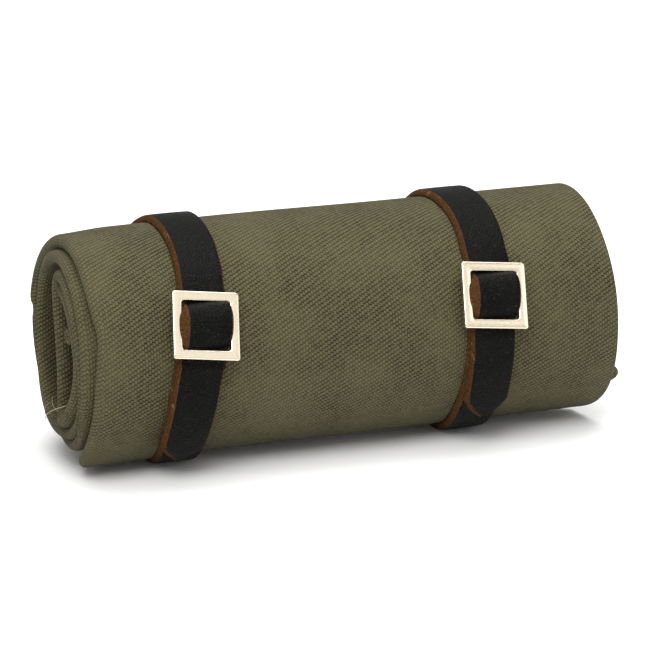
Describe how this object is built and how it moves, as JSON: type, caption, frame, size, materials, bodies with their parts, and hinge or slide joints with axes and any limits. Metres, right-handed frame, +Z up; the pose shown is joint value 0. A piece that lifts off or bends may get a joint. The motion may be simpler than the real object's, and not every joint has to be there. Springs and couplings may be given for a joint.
{
  "type": "carving tool roll",
  "caption": "Rolled olive canvas roll for carving tools, held shut by black leather straps with square metal slide buckles.",
  "frame": {"origin": "centre of the footprint, on the surface that the roll lies on", "axes": "+X along the roll's axis, -Y towards the buckles, +Z up"},
  "size_m": [0.174, 0.0824, 0.0759],
  "materials": {
    "canvas": "coarse olive cotton twill",
    "canvas_thread": "olive cotton thread",
    "strap_leather": "black grain leather with brown cut edges",
    "strap_thread": "waxed black thread",
    "buckle_metal": "nickel plated, finely brushed",
    "rivet_metal": "nickel plated"
  },
  "bodies": {
    "roll": {"outer_panel": "canvas", "pocket_panel": "canvas", "top_flap": "canvas", "pocket_stitching": "canvas_thread", "flap_stitching": "canvas_thread", "hem_stitching": "canvas_thread", "left_strap": "strap_leather", "left_rivet_cap": "rivet_metal", "left_rivet_post": "rivet_metal", "left_fold_stitching": "strap_thread", "right_strap": "strap_leather", "right_rivet_cap": "rivet_metal", "right_rivet_post": "rivet_metal", "right_fold_stitching": "strap_thread"},
    "left_tail": {"left_strap_tail": "strap_leather"},
    "left_buckle_body": {"left_buckle": "buckle_metal"},
    "right_tail": {"right_strap_tail": "strap_leather"},
    "right_buckle_body": {"right_buckle": "buckle_metal"}
  },
  "joints": [
    {"name": "left_tail_lift", "type": "hinge", "parent": "roll", "child": "left_tail", "pos_m": [-0.0532, -0.03739, 0.03753], "axis": [-1, 0, 0], "range_deg": [0, 65], "stiffness_Nm_per_rad": 0.002},
    {"name": "left_buckle_rock", "type": "hinge", "parent": "roll", "child": "left_buckle_body", "pos_m": [-0.0497, -0.03526, 0.05078], "axis": [0.991, -0.0449, -0.1262], "range_deg": [-2, 2], "stiffness_Nm_per_rad": 0.02},
    {"name": "right_tail_lift", "type": "hinge", "parent": "roll", "child": "right_tail", "pos_m": [0.0433, -0.03739, 0.03753], "axis": [-1, 0, 0], "range_deg": [0, 65], "stiffness_Nm_per_rad": 0.002},
    {"name": "right_buckle_rock", "type": "hinge", "parent": "roll", "child": "right_buckle_body", "pos_m": [0.0444, -0.03526, 0.05078], "axis": [0.9936, -0.038, -0.1066], "range_deg": [-2, 2], "stiffness_Nm_per_rad": 0.02}
  ]
}
